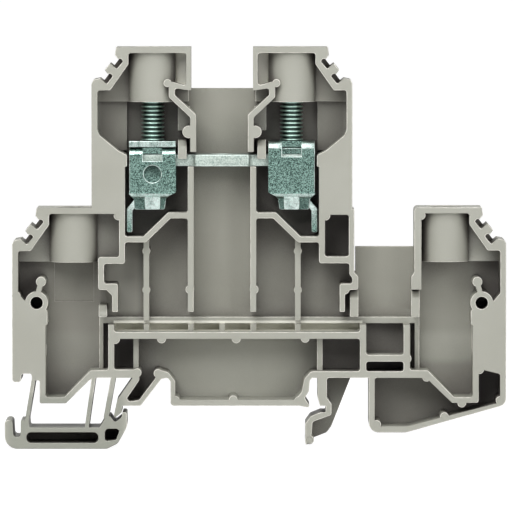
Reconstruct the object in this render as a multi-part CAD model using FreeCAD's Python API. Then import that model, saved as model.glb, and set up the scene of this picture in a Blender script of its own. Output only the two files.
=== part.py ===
"""Double level terminal block for a 35 mm mounting rail, seen from its open side.

X runs along the wires, Y along the rail and Z up. X = 0 is the middle of the rail,
Y = 0 the middle of the block's width, and Z = 0 the face that sits on the rail.
The open side looks along -Y. All sizes are in millimetres.
"""
import FreeCAD, Part
import math
import os

# Housing
block_width = 9.9
wall = 1.0
slim_wall = 0.8
back_plate = 1.0
inner_radius = 0.45
pin_radius = 0.75

# Rail and its seat
rail_width = 35.0
rail_flange = 1.0
rail_play = 0.1
keel_gap = 7.4
keel_drop = 18.31

# Heights: the lower bar's seat above the rail, and each tier's top above its seat
lower_seat = 13.76
left_rise = 19.84
right_rise = 19.94
upper_rise = 20.25
level_gap = 4.5
seat_gap = 2.2

# Gap between two towers and the channel below it
gap_half = 5.25
gap_depth = 7.15
channel_half = 5.8
left_overlap = 2.8
tower_overlap = 0.7

# Clamp chamber and wire block, the same in every tier
clamp_run = 10.65
clamp_drop = 11.85
block_depth = 5.65
stop_lip = 0.35
floor_step = 1.6
wire_drop = 2.4
entry_mouth = 3.9
entry_throat = 3.0
entry_flare = 3.2

# Screw guides
guide_length = 9.35
guide_wall = 0.95
guide_play = 0.3
guide_flange = 0.8
guide_panel_front = 0.4

# Marker shoulder: sawtooth edge with two snap-in grooves
tooth_run = 1.73
tooth_drop = 2.54
tooth_start = 1.31

# Current bar
bar_thickness = 2.0
bar_end_gap = 0.5
bar_yoke_gap = 0.3
bar_leg_gap = 0.3
bar_side_gap = 0.1
bar_ramp = 1.1
tap_bore = 3.3

# Clamping screws, M4
screw_diameter = 4.0
screw_fit = 0.05
head_diameter = 5.6
head_height = 2.6
head_gap = 2.15
slot_width = 1.0
slot_depth = 1.2
tip_gap = 0.05
tip_chamfer = 0.5

# Clamping yokes, folded from sheet
sheet = 1.0
fold_radius = 0.3
yoke_length = 7.9
yoke_window = 6.7
yoke_gap = 0.1
yoke_side_gap = 0.7
yoke_floor_gap = 0.15
leaf_gap = 0.2
notch_width = 3.2
dimple_radius = 1.47
dimple_depth = 0.25
nose_drop = 1.75
apron_gap = 0.6
apron_side_gap = 0.25

# Ribs and fields that stand back from the open side
rib_setback = 3.0
ledge_setback = 5.2
field_setback = 7.15
field_gap = 0.45
ledge_height = 1.08
main_wall = 1.15
lug_width = 1.45
lug_lip = 0.7

# End plate sockets
socket_radius = 1.05
socket_ring = 1.95

# Spring foot
foot_height = 3.7
foot_slot_height = 1.8
stem_thickness = 0.65

# Marks of the ejector pins
mark_radius = 0.55
mark_depth = 0.06

# Faces along Y, and faces along X from the rail's middle outwards
front = -block_width / 2
back = block_width / 2
floor = back - back_plate
over = 1.0
rail_half = rail_width / 2
keel_left = rail_half + keel_gap
upper_reach = channel_half + clamp_run + block_depth
left_wall = upper_reach - left_overlap
left_reach = left_wall + clamp_run + block_depth
tower_face = upper_reach + 2 * gap_half
right_reach = tower_face - tower_overlap + clamp_run + block_depth
screw_inset = block_depth + yoke_length / 2 + yoke_side_gap

# Levels along Z
left_top = lower_seat + left_rise
right_top = lower_seat + right_rise
upper_seat = left_top - guide_length + level_gap + clamp_drop
upper_top = upper_seat + upper_rise
gap_floor = upper_top - gap_depth
bar_top = upper_seat + bar_thickness
seat_ceiling = lower_seat - 1.22 - main_wall
keel_low = lower_seat - keel_drop

# Sizes that follow from what they hold
guide_bore = head_diameter / 2 + guide_play
guide_radius = guide_bore + guide_wall
shoulder_run = 2 * tooth_run + 0.69
shoulder_drop = 2 * tooth_drop + tooth_start - 0.24
yoke_depth = 2 * (floor - yoke_floor_gap)
bar_half = upper_reach - block_depth - stop_lip - bar_end_gap
bar_end_width = yoke_depth - 2 * sheet - 2 * bar_yoke_gap
bar_middle_half = channel_half - wall - bar_leg_gap


def direction(start, end):
    """Length and unit direction from one corner to another."""
    run = end[0] - start[0]
    rise = end[1] - start[1]
    length = math.hypot(run, rise)
    return length, run / length, rise / length


def corner_points(before, here, after):
    """Where the rounding of a corner starts, its middle and its end."""
    radius = here[2] if len(here) > 2 else 0.0
    back_length, back_x, back_z = direction(here, before)
    next_length, next_x, next_z = direction(here, after)
    half_turn = math.acos(max(-1.0, min(1.0, back_x * next_x + back_z * next_z))) / 2
    if radius == 0.0 or half_turn > 1.5:
        return [(here[0], here[1])]
    reach = min(radius / math.tan(half_turn), 0.45 * min(back_length, next_length))
    radius = reach * math.tan(half_turn)
    middle_x = back_x + next_x
    middle_z = back_z + next_z
    middle_length = math.hypot(middle_x, middle_z)
    inset = (radius / math.sin(half_turn) - radius) / middle_length
    first = (here[0] + back_x * reach, here[1] + back_z * reach)
    middle = (here[0] + middle_x * inset, here[1] + middle_z * inset)
    last = (here[0] + next_x * reach, here[1] + next_z * reach)
    return [first, middle, last]


def profile(corners, place):
    """Closed face from corners (a, b) or (a, b, radius); place turns them into points."""
    edges = []
    stations = []
    for index in range(len(corners)):
        after = corners[(index + 1) % len(corners)]
        stations.append(corner_points(corners[index - 1], corners[index], after))
    for index in range(len(stations)):
        points = [place(*point) for point in stations[index]]
        following = place(*stations[(index + 1) % len(stations)][0])
        if len(points) == 3:
            edges.append(Part.Arc(*points).toShape())
        if points[-1].distanceToPoint(following) > 1e-6:
            edges.append(Part.makeLine(points[-1], following))
    return Part.Face(Part.Wire(edges))


def slab(corners, near, far):
    """Plate with its outline in X and Z, from Y = near to Y = far."""
    face = profile(corners, lambda x, z: FreeCAD.Vector(x, near, z))
    return face.extrude(FreeCAD.Vector(0, far - near, 0))


def pocket(corners, far=floor):
    """Hollow that is open to the front, with rounded inner corners, down to Y = far."""
    rounded = [point if len(point) > 2 else (point[0], point[1], inner_radius) for point in corners]
    return slab(rounded, front - over, far)


def box(left, right, low, high, near, far):
    """Square block between the given faces."""
    return slab([(left, low), (right, low), (right, high), (left, high)], near, far)


def pin(x, z, radius=pin_radius, near=front, far=floor):
    """Round post along Y."""
    return Part.makeCylinder(radius, far - near, FreeCAD.Vector(x, near, z), FreeCAD.Vector(0, 1, 0))


def stem(low, high, thickness):
    """Straight leg of even thickness between two points of its middle line."""
    length, run, rise = direction(low, high)
    side_x = -rise * thickness / 2
    side_z = run * thickness / 2
    corners = [
        (low[0] + side_x, low[1] + side_z),
        (low[0] - side_x, low[1] - side_z),
        (high[0] - side_x, high[1] - side_z),
        (high[0] + side_x, high[1] + side_z),
    ]
    return slab(corners, front, back)


def flipped(points):
    """Points mirrored to the left-hand side, in the opposite order."""
    return [(-point[0], *point[1:]) for point in reversed(points)]


def mirrored(shapes):
    """Shapes mirrored to the left-hand side."""
    return [shape.mirror(FreeCAD.Vector(0, 0, 0), FreeCAD.Vector(1, 0, 0)) for shape in shapes]


def shoulder(reach, top):
    """Sawtooth edge of a right-hand tier, from its top face out to its outer face."""
    tooth_x = reach - shoulder_run + 0.18
    tooth_z = top - tooth_start
    return [
        (reach - shoulder_run, top),
        (tooth_x, tooth_z),
        (tooth_x + 0.87, tooth_z - 1.49, 0.3),
        (tooth_x + tooth_run, tooth_z - tooth_drop, 0.3),
        (tooth_x + tooth_run + 0.7, tooth_z - tooth_drop - 1.42, 0.3),
        (reach - 0.31, top - shoulder_drop + 0.62, 0.3),
        (reach, top - shoulder_drop),
    ]


def marker_grooves(reach, top):
    """Two undercut grooves of a right-hand shoulder; they are shallower through the back plate."""
    deep = [
        (0.0, 0.0), (-0.5, -0.68), (-1.0, -0.66, 0.25), (-1.42, -1.05, 0.35),
        (-0.32, -2.4, 0.25), (0.78, -1.46), (1.8, -0.6), (1.5, 0.3),
    ]
    shallow = [(0.0, 0.0), (-0.55, -0.95, 0.2), (0.2, -1.95, 0.2), (0.78, -1.46), (1.8, -0.6), (1.5, 0.3)]
    grooves = []
    for count in range(2):
        corner_x = reach - shoulder_run + 0.18 + count * tooth_run
        corner_z = top - tooth_start - count * tooth_drop
        for shape, far in ((deep, floor), (shallow, back + over)):
            points = [(corner_x + point[0], corner_z + point[1], *point[2:]) for point in shape]
            grooves.append(slab(points, front - over, far))
    return grooves


def under_shoulder(reach, top):
    """Corners of the chamber under a right-hand shoulder, from the ceiling to the outer wall."""
    return [
        (reach - shoulder_run - 2.12, top - wall),
        (reach - shoulder_run - 2.12, top - 2.9),
        (reach - shoulder_run + 0.98, top - shoulder_drop - 1.17),
        (reach - wall, top - shoulder_drop - 1.17),
    ]


def screw_guide(axis, top, left, right):
    """Tube that leads the screwdriver down, with the panel that it stands on."""
    low = top - guide_length
    panel = box(left, right, low, top - wall / 2, guide_panel_front, floor + back_plate / 2)
    tube = Part.makeCylinder(guide_radius, guide_length - wall / 2, FreeCAD.Vector(axis, 0, low))
    return [panel, tube]


def guide_bores(axis, top):
    """Bore for the screw's head down to a flange that the shank turns in."""
    low = top - guide_length
    head_bore = Part.makeCylinder(
        guide_bore, guide_length + over - guide_flange, FreeCAD.Vector(axis, 0, low + guide_flange))
    shank_bore = Part.makeCylinder(
        screw_diameter / 2 + screw_fit, guide_length, FreeCAD.Vector(axis, 0, low - over))
    return [head_bore, shank_bore]


def wire_entry(reach, seat):
    """Funnel for the wire, from the outer face of a right-hand tier into its clamp chamber."""
    height = seat - wire_drop
    outward = FreeCAD.Vector(1, 0, 0)
    mouth = Part.makeCone(
        entry_throat, entry_mouth, entry_flare, FreeCAD.Vector(reach - entry_flare, 0, height), outward)
    throat = Part.makeCylinder(
        entry_throat, block_depth + over, FreeCAD.Vector(reach - block_depth - over, 0, height), outward)
    return mouth.fuse(throat)


def upper_outline():
    """Outline of the body from the spring seat up to the two upper towers."""
    right = [(gap_half, gap_floor), (gap_half, upper_top)] + shoulder(upper_reach, upper_top)
    low = [
        (upper_reach, right_top - 0.3),
        (upper_reach + 0.34, right_top - 0.3),
        (upper_reach + 0.34, lower_seat + 8.9),
        (upper_reach + wall, lower_seat + 8.2),
        (upper_reach + wall, lower_seat - 9.0),
        (-upper_reach, lower_seat - 9.0),
    ]
    return slab(right + low + flipped(right), front, back)


def left_outline():
    """Outline of the lower left tier down to the roots of the spring foot."""
    top_edge = flipped(shoulder(left_reach, left_top))
    inner_face = left_reach - block_depth
    low = lower_seat - 8.81
    under = [
        (-upper_reach + 5.0, left_top),
        (-upper_reach + 5.0, low),
        (-inner_face + 8.55, low, 0.5),
        (-inner_face + 7.35, low - 0.7),
        (-inner_face + 3.45, low - 4.55, 0.4),
        (-inner_face - wall, low - 4.55, 0.3),
        (-left_reach + 4.65, low - 0.65, 0.3),
        (-left_reach + 3.3, low - 0.65, 0.3),
        (-left_reach + 3.3, low + 0.5, 0.4),
        (-left_reach + 1.55, low + 0.5, 0.4),
        (-left_reach + 1.55, low - 0.95, 0.6),
        (-left_reach, low - 0.95, 0.6),
    ]
    return slab(top_edge + under, front, back)


def right_outline():
    """Outline of the lower right tower, its channel and the wedge under it."""
    channel_left = upper_reach + wall - 0.4
    points = [
        (channel_left, lower_seat + 12.95),
        (tower_face, lower_seat + 12.95),
        (tower_face, right_top, 0.7),
    ]
    points += shoulder(right_reach, right_top)
    points += [
        (right_reach, lower_seat - 13.56, 1.4),
        (keel_left + 6.3, keel_low, 2.0),
        (keel_left, keel_low, 1.7),
        (keel_left, lower_seat - 9.0),
        (channel_left - 2.0, lower_seat - 9.0),
        (channel_left - 2.0, lower_seat + 4.0),
        (channel_left, lower_seat + 4.0),
    ]
    return slab(points, front, back)


def seat_outline():
    """Outline of the rail seat: the finger beside the spring foot, the arch and the bottom plate."""
    tongue = -rail_half
    seat_top = seat_ceiling + main_wall / 2
    points = [
        (tongue + 2.5, seat_top),
        (tongue + 2.5, 5.0),
        (tongue - 0.3, 1.0),
        (tongue - 0.87, -1.75, 0.2),
        (tongue - 0.6, -2.0, 0.2),
        (tongue + 0.5, -1.1, 0.2),
        (tongue + 0.55, 0.0, 0.2),
        (tongue + 3.7, 0.0, 0.5),
        (tongue + 7.2, 4.55, 0.6),
        (tongue + 8.3, 4.75, 0.5),
        (tongue + 8.75, 4.1, 0.5),
        (tongue + 8.75, 0.0, 0.6),
    ]
    hook = rail_half
    points += [
        (hook - 4.4, 0.0),
        (hook - 2.9, -0.3, 0.2),
        (hook - 2.65, 0.05, 0.2),
        (hook - 3.45, 1.3, 0.3),
        (hook - 2.75, 2.5, 0.5),
        (hook - 2.6, 4.35, 0.4),
        (hook - 2.0, 4.9, 0.5),
        (hook - 1.3, 4.75),
        (hook - 1.3, seat_top),
    ]
    return slab(points, front, back)


def hook_outline():
    """Outline of the fixed hook at the rail's right-hand edge, with the web behind it."""
    hook = rail_half
    under = -rail_flange - rail_play
    points = [
        (hook - 1.3, lower_seat - 8.4),
        (hook - 1.3, 1.4, 0.6),
        (hook - 0.9, 0.0, 0.2),
        (hook + rail_play, 0.0, 0.2),
        (hook + rail_play, under, 0.2),
        (hook - 0.8, under),
        (hook - 2.5, under - 0.7, 0.5),
        (hook - 3.35, under - 1.9, 0.4),
        (hook - 3.35, under - 5.6, 0.2),
        (hook - 1.85, under - 4.9),
        (hook + 0.35, under - 4.05, 0.9),
        (hook + 1.1, under - 3.05, 0.9),
        (hook + 4.6, lower_seat - 9.0),
        (hook + 4.6, lower_seat - 8.4),
    ]
    return slab(points, front, back)


def upper_chamber():
    """Hollow of the right-hand upper tower: screw guide, clamp chamber and the leg beside the bar."""
    inner_face = upper_reach - block_depth
    corners = [(gap_half + slim_wall, upper_top - wall)]
    corners += under_shoulder(upper_reach, upper_top)
    corners += [
        (upper_reach - wall, upper_seat + 6.2),
        (upper_reach - wall - 0.4, upper_seat + 5.3),
        (upper_reach - 4.6, upper_seat + 2.65),
        (inner_face - stop_lip, bar_top),
        (inner_face - stop_lip, upper_seat),
        (inner_face, upper_seat),
        (inner_face, upper_seat - clamp_drop),
        (inner_face - 3.1, upper_seat - clamp_drop),
        (inner_face - 7.3, upper_seat - clamp_drop + 4.08),
        (channel_half, upper_seat - clamp_drop + 4.08),
        (channel_half, upper_seat),
        (channel_half - 0.42, upper_seat),
        (channel_half - 0.42, upper_top - 11.9),
        (channel_half + 3.2, upper_top - 8.5),
        (channel_half + 3.2, upper_top - 5.8),
        (gap_half + 2.87, upper_top - 5.95),
        (gap_half + slim_wall, upper_top - 6.5),
    ]
    return pocket(corners)


def centre_channel():
    """Hollow between the two tower legs, open at the top, and the channel under the bar."""
    right = [
        (channel_half - wall, lower_seat - 1.22),
        (channel_half - wall, upper_seat),
        (channel_half - 1.42, upper_seat + seat_gap + 0.3),
        (channel_half - 1.42, upper_top - 11.45),
        (channel_half + 2.2, upper_top - 8.1),
        (channel_half + 2.2, gap_floor + 0.2),
        (gap_half, gap_floor - 0.2, 0.1),
        (gap_half, gap_floor + over, 0.1),
    ]
    return pocket(right + flipped(right))


def bar_windows():
    """Passage of the upper bar through both legs and of the lower bar through the walls below."""
    high = upper_seat + seat_gap + 0.3
    upper = pocket([
        (-channel_half - 0.5, upper_seat, 0.1), (channel_half + 0.5, upper_seat, 0.1),
        (channel_half + 0.5, high, 0.1), (-channel_half - 0.5, high, 0.1)])
    left = -upper_reach + 1.2
    right = tower_face + wall
    high = lower_seat + seat_gap
    lower = pocket([(left, lower_seat, 0.1), (right, lower_seat, 0.1), (right, high, 0.1), (left, high, 0.1)])
    return [upper, lower]


def middle_chambers():
    """Hollows between the clamp chambers and the main wall, on both sides of the channel."""
    floor_left = upper_reach - block_depth - 3.55
    slope_low = upper_seat - clamp_drop - wall
    slope_top = slope_low + 4.08
    block_face = upper_reach - block_depth
    left = [
        (-block_face, slope_low),
        (-floor_left, slope_low),
        (-floor_left + 4.2, slope_top),
        (-channel_half, slope_top),
        (-channel_half, lower_seat),
        (-left_wall + 1.65, lower_seat),
        (-left_wall + 1.65, lower_seat + 7.0),
        (-upper_reach + 2.1, lower_seat + 7.0),
        (-upper_reach + 2.1, lower_seat + 10.35),
        (-block_face, lower_seat + 10.35),
    ]
    right = [
        (channel_half, slope_top),
        (floor_left - 4.2, slope_top),
        (floor_left, slope_low),
        (block_face, slope_low),
        (block_face, lower_seat + 10.45),
        (upper_reach - 0.5, lower_seat + 10.45),
        (upper_reach - 0.5, lower_seat + 8.55),
        (upper_reach, lower_seat + 7.9),
        (upper_reach, lower_seat + 7.0),
        (upper_reach - 2.15, lower_seat + 7.0),
        (upper_reach - 2.15, lower_seat),
        (channel_half, lower_seat),
    ]
    under = [
        (-left_wall + wall, lower_seat - 1.22),
        (keel_left - 1.5, lower_seat - 1.22),
        (keel_left - 1.5, lower_seat + 0.5),
        (-left_wall + wall, lower_seat + 0.5),
    ]
    core = [
        (block_face + wall, lower_seat + 11.6),
        (upper_reach - 0.6, lower_seat + 11.6),
        (upper_reach - 0.6, lower_seat + 18.7),
        (block_face + wall, lower_seat + 18.7),
    ]
    return [pocket(left), pocket(right), pocket(under), pocket(core)]


def tier_chamber(reach, top, partition):
    """Hollow of a right-hand lower tier; partition holds the corners on the side of the rail."""
    inner_face = reach - block_depth
    corners = under_shoulder(reach, top)
    corners += [
        (reach - wall, lower_seat + 5.4),
        (reach - 2.1, lower_seat + 4.1),
        (reach - 4.15, lower_seat + 3.7),
        (inner_face - stop_lip, lower_seat + 2.4),
        (inner_face - stop_lip, lower_seat),
        (inner_face, lower_seat),
        (inner_face, lower_seat - 12.3),
        (inner_face - 3.15, lower_seat - 12.3),
        (inner_face - 7.6, lower_seat - 7.75),
    ]
    return corners + partition


def left_chamber():
    """Hollow of the lower left tier, with the shallow field in its back plate."""
    partition = [
        (left_wall, lower_seat - 7.7),
        (left_wall, lower_seat + 0.7),
        (left_wall - 0.66, lower_seat + 0.7),
        (left_wall - 0.66, lower_seat + 4.9),
        (left_wall + 0.3, lower_seat + 5.93),
        (upper_reach - 1.08, lower_seat + 5.93),
        (upper_reach - 1.08, lower_seat + 11.5),
        (upper_reach - 4.65, lower_seat + 11.5),
        (upper_reach - 4.65, left_top - wall),
    ]
    hollow = pocket(flipped(tier_chamber(left_reach, left_top, partition)))
    axis = left_reach - screw_inset
    field = box(-axis - 3.25, -axis + 3.3, lower_seat + 3.54, left_top - guide_length - 0.15, front,
                floor + 0.25)
    return [hollow, field]


def right_chamber():
    """Hollow of the lower right tower and the open channel beside it."""
    partition = [
        (tower_face - tower_overlap, lower_seat - 7.7),
        (tower_face - tower_overlap, lower_seat + 6.0),
        (tower_face + 1.2, lower_seat + 6.0, 0.1),
        (tower_face + 1.2, right_top - wall),
    ]
    hollow = pocket(tier_chamber(right_reach, right_top, partition))
    channel = pocket([
        (upper_reach - 1.25, lower_seat + 0.3),
        (upper_reach - 1.25, lower_seat + 5.1),
        (upper_reach - 0.3, lower_seat + 5.95),
        (upper_reach + wall, lower_seat + 5.95),
        (upper_reach + wall, lower_seat + 8.2),
        (upper_reach + 0.34, lower_seat + 8.9),
        (upper_reach + 0.34, lower_seat + 12.95 + over, 0.1),
        (tower_face, lower_seat + 12.95 + over, 0.1),
        (tower_face, lower_seat + 8.9),
        (tower_face - 0.5, lower_seat + 8.2),
        (tower_face - 0.5, lower_seat + 0.3),
    ])
    left = keel_left - 0.44
    right = tower_face - 1.8
    cell = pocket([(left, lower_seat - 5.1), (right, lower_seat - 5.1), (right, lower_seat + 1.0),
                   (left, lower_seat + 1.0)])
    slot = pocket([(left, lower_seat - 7.9), (right, lower_seat - 7.9), (right, lower_seat - 6.25),
                   (left, lower_seat - 6.25)])
    return [hollow, channel, cell, slot]


def wedge_chamber():
    """Hollow under the clamp chamber of the lower right tier."""
    left = keel_left + wall
    inner_face = right_reach - block_depth
    return pocket([
        (left, lower_seat - 9.0),
        (left, keel_low + 1.05, 0.9),
        (left + 5.6, keel_low + 1.05, 1.5),
        (right_reach - wall, lower_seat - 13.21, 0.6),
        (right_reach - wall, lower_seat - 8.36),
        (right_reach - 3.8, lower_seat - 7.66),
        (inner_face + wall, lower_seat - 7.66),
        (inner_face + wall, lower_seat - 13.25),
        (inner_face - 3.5, lower_seat - 13.25),
        (inner_face - 7.3, lower_seat - 9.6),
        (inner_face - 8.0, lower_seat - 9.0),
    ])


def seat_chamber():
    """Hollow between the main wall and the rail seat, down into the finger on the left."""
    tongue = -rail_half
    hook = rail_half
    return pocket([
        (-left_wall + wall, seat_ceiling),
        (-left_wall + wall, 6.16),
        (tongue + 2.6, 6.16, 0.2),
        (tongue + 3.45, 5.6, 0.2),
        (tongue + 3.45, 4.3),
        (tongue + 1.35, 1.25),
        (tongue + 1.75, 0.75),
        (tongue + 3.4, 0.95),
        (tongue + 6.2, 4.7),
        (tongue + 6.2, 6.3, 0.6),
        (tongue + 8.4, 5.7, 0.6),
        (tongue + 9.55, 4.2, 0.6),
        (tongue + 9.55, wall, 0.6),
        (hook - 5.2, wall, 0.8),
        (hook - 4.0, 2.3, 0.6),
        (hook - 3.55, 4.6, 0.5),
        (hook - 2.4, 5.87, 0.9),
        (keel_left - 1.5, 5.87),
        (keel_left - 1.5, seat_ceiling),
    ])


def hook_recess():
    """Space in front of the hook's web, which leaves the hook as a bent leaf."""
    hook = rail_half
    under = -rail_flange - rail_play
    return pocket([
        (hook + 0.3, lower_seat - 9.0),
        (hook + 0.3, 1.4),
        (hook + 1.1, 0.3),
        (hook + 1.05, under - 0.45),
        (hook - 2.15, under - 1.65),
        (hook - 2.35, under - 4.8, 0.1),
        (hook - 2.35, under - 8.0, 0.1),
        (keel_left - 0.1, under - 8.0, 0.1),
        (keel_left, lower_seat - 9.0, 0.1),
    ])


def ribs():
    """Ribs, ledges and lugs that stand back from the open side."""
    rib_front = front + rib_setback
    ledge_front = front + ledge_setback
    root = floor + back_plate / 2
    deep = upper_seat - clamp_drop - wall / 2
    rib = upper_reach - block_depth - 3.58
    shapes = [
        box(-upper_reach + 1.17, tower_face + wall, lower_seat, lower_seat + ledge_height, ledge_front, root),
        box(-upper_reach + 1.17, -upper_reach + 1.85, lower_seat - 7.8, lower_seat, ledge_front, root),
        box(tower_face + 0.2, tower_face + wall, lower_seat - 8.0, lower_seat, ledge_front, root),
        box(-rail_half + 2.42, -rail_half + 3.3, 5.0, seat_ceiling + 0.4, rib_front, root),
        box(rail_half - 1.36, rail_half - 0.4, 5.5, seat_ceiling + 0.4, rib_front, root),
    ]
    for side in (-1, 1):
        middle = side * rib
        shapes.append(box(middle - 0.48, middle + 0.48, lower_seat + ledge_height / 2, deep, rib_front, root))
        shapes.append(pin(middle, lower_seat + 12.4, 0.7, rib_front))
        shapes.append(pin(middle, lower_seat + 5.75, 0.7, rib_front))
    for middle in (-rib, -channel_half + wall / 2, 0.0, channel_half - wall / 2, rib):
        shapes.append(box(middle - 0.48, middle + 0.48, lower_seat - 2.0, lower_seat, rib_front / 1.5, root))
    return shapes


def bar_lug(inner, seat, rise):
    """Lug that keeps a bar on its seat: it lies over the bar and drops a lip in front of it."""
    low = seat + bar_thickness
    near = front + wall
    lip_back = -bar_end_width / 2 - bar_side_gap
    root = floor + back_plate / 2
    corners = [
        (near, low - lug_lip), (lip_back, low - lug_lip), (lip_back, low + yoke_gap), (root, low + yoke_gap),
        (root, low + rise), (near + 1.4, low + rise, 0.8), (near, low + rise - 1.2, 0.8),
    ]
    side = profile(corners, lambda y, z: FreeCAD.Vector(inner, y, z))
    return side.extrude(FreeCAD.Vector(lug_width, 0, 0))


def leg_details():
    """Round tip of the arm, bump of the leg and the block behind it, on the right-hand side."""
    leg = channel_half - 0.42
    rib = box(leg + 0.1, leg + 2.15, upper_seat + 6.0, upper_seat + 10.1, guide_panel_front, floor + 0.5)
    return [
        pin(channel_half + 3.42, upper_top - 6.1, 0.68),
        pin(leg + 0.28, upper_seat + 5.9, 1.05),
        rib,
    ]


def raised_field():
    """Raised field of the back plate beside a right-hand upper clamp, between it and the outer wall."""
    edge = upper_reach - screw_inset + yoke_length / 2 + field_gap
    low = bar_top + 0.5
    high = upper_top - guide_length + 0.2
    return box(edge, upper_reach - wall / 2, low, high, front + field_setback, floor + back_plate / 2)


def sockets(reach):
    """Ring for an end plate's pin in a right-hand lower tier, with the post above it."""
    ring = (reach - 4.15, lower_seat + 3.72)
    post = (reach - 4.9, lower_seat + 7.3)
    neck = (ring[0] - 0.25, ring[1] + 1.6)
    length, run, rise = direction(neck, post)
    half = 0.42
    web = slab([
        (neck[0] - rise * half, neck[1] + run * half), (neck[0] + rise * half, neck[1] - run * half),
        (post[0] + rise * half, post[1] - run * half), (post[0] - rise * half, post[1] + run * half),
    ], front, floor + 0.5)
    return [pin(*ring, socket_ring), pin(*post, 0.85), web]


def socket_holes():
    """Blind holes of both rings, in the lower left and the lower right tier."""
    height = lower_seat + 3.72
    deep = floor + back_plate / 2
    return [
        pin(-left_reach + 4.15, height, socket_radius, front - over, deep),
        pin(right_reach - 4.15, height, socket_radius, front - over, deep),
    ]


def pin_places():
    """Middles of the round thickenings where walls meet."""
    low = lower_seat
    upper = [
        (upper_reach - 4.45, bar_top - 0.15), (upper_reach - 4.5, left_top - 1.35),
        (channel_half - 0.35, low + 6.0),
    ]
    single = [
        (-upper_reach + 3.5, low + 6.1), (-left_reach + 0.7, low + 4.9), (-left_reach + 5.25, low + 0.95),
        (-upper_reach + 7.7, low - 8.15), (-left_wall + 1.2, low - 2.5), (-10.25, low - 2.4),
        (2.4, low - 2.4), (14.1, low - 2.3), (-rail_half + 6.65, 5.5), (-rail_half + 9.6, 0.9),
        (1.9, 1.0), (rail_half - 4.45, 0.9), (upper_reach - 1.25, low + 5.95),
        (tower_face + 1.15, right_top - 1.35), (tower_face + 0.35, low + 6.8),
        (tower_face - 1.2, low - 5.75), (right_reach - 13.5, low - 8.9),
        (right_reach - 7.5, low - 13.3), (right_reach - 4.5, low - 7.6), (right_reach - 10.45, low - 15.61),
        (right_reach - 1.0, low - 12.86), (keel_left + 1.35, keel_low + 1.35), (rail_half - 2.65, -5.8),
    ]
    return upper + flipped(upper) + single


def foot():
    """Spring foot on three slim stems, with its two blind slots."""
    edge = -rail_half
    low = -2 * foot_height + 0.08
    top = -foot_height
    left = -left_reach - 1.3
    root = lower_seat - 8.76
    base = slab([
        (left, -2.45, 0.6), (left + 1.35, -2.45, 0.6), (left + 1.5, -5.3, 0.5), (left + 2.7, -5.3, 0.5),
        (left + 2.75, -2.5, 0.1), (left + 4.1, -2.5, 0.3), (left + 4.2, top, 0.3), (edge - 3.3, top, 0.3),
        (edge - 2.4, -2.2, 0.4), (edge - 1.5, -1.7), (edge - 0.7, -2.85, 0.4), (edge + 0.45, -1.95, 0.3),
        (edge + 0.6, -rail_flange - rail_play, 0.2), (edge + 1.3, -rail_flange - rail_play, 0.4),
        (edge + 1.4, -3.6, 2.0), (edge - 0.2, low + 0.9, 1.2), (edge - 2.0, low, 1.2), (left, low, 2.2),
    ], front, back)
    stems = [
        stem((left + 3.7, -3.0), (-left_reach + 3.72, root), stem_thickness),
        stem((edge - 5.5, -4.0), (edge - 4.25, root - 0.1), stem_thickness + 0.05),
        stem((edge - 2.2, -2.2), (edge - 0.85, root + 0.3), stem_thickness + 0.2),
    ]
    return [base] + stems


def foot_slots():
    """Two blind slots in the foot, open to the front."""
    edge = -rail_half
    low = -2 * foot_height + 0.08 + wall
    high = low + foot_slot_height
    left = -left_reach + 2.4
    long_slot = pocket([
        (left, low, 0.8), (edge - 3.5, low, 0.8), (edge - 3.5, high, 0.8), (left, high, 0.8)])
    short_slot = pocket([
        (edge - 2.4, low + 0.3), (edge - 0.5, low + 0.5), (edge + 0.1, high + 0.3), (edge - 0.4, high + 0.6),
        (edge - 2.0, high + 0.6), (edge - 2.4, high + 0.1)])
    return [long_slot, short_slot]


def housing():
    """The whole moulding: outlines first, then hollows, then what stands inside them, then bores."""
    body = upper_outline().fuse([left_outline(), right_outline(), seat_outline(), hook_outline()] + foot())
    upper_hollow = upper_chamber()
    hollows = [upper_hollow, centre_channel(), wedge_chamber(), seat_chamber(), hook_recess()]
    hollows += mirrored([upper_hollow])
    hollows += bar_windows() + middle_chambers() + left_chamber() + right_chamber() + foot_slots()
    grooves = marker_grooves(upper_reach, upper_top)
    hollows += grooves + mirrored(grooves)
    hollows += mirrored(marker_grooves(left_reach, left_top)) + marker_grooves(right_reach, right_top)
    body = body.cut(hollows)

    axis = upper_reach - screw_inset
    upper_details = screw_guide(axis, upper_top, gap_half + slim_wall / 2, upper_reach - wall / 2)
    upper_details += [bar_lug(channel_half + 0.2, upper_seat, 2.5), raised_field()] + leg_details()
    details = upper_details + mirrored(upper_details)
    left_axis = left_reach - screw_inset
    right_axis = right_reach - screw_inset
    details += mirrored(screw_guide(left_axis, left_top, upper_reach - 4.9, left_reach - wall / 2))
    details += screw_guide(right_axis, right_top, tower_face + tower_overlap, right_reach - wall / 2)
    details += [
        bar_lug(-upper_reach + 1.15, lower_seat, 1.3),
        bar_lug(upper_reach - 0.4, lower_seat, 3.7),
        bar_lug(tower_face - 0.5, lower_seat, 3.7),
    ]
    details += mirrored(sockets(left_reach)) + sockets(right_reach) + ribs()
    places = pin_places()
    details += [pin(x, z) for x, z in places]
    body = body.fuse(details)

    tiers = [(upper_reach, upper_top, upper_seat), (right_reach, right_top, lower_seat)]
    left_tiers = [(upper_reach, upper_top, upper_seat), (left_reach, left_top, lower_seat)]
    bores = socket_holes() + [pin(x, z, mark_radius, front - over, front + mark_depth) for x, z in places]
    for reach, top, seat in tiers:
        bores += guide_bores(reach - screw_inset, top) + [wire_entry(reach, seat)]
    for reach, top, seat in left_tiers:
        bores += mirrored(guide_bores(reach - screw_inset, top) + [wire_entry(reach, seat)])
    return body.cut(bores).removeSplitter()


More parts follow.
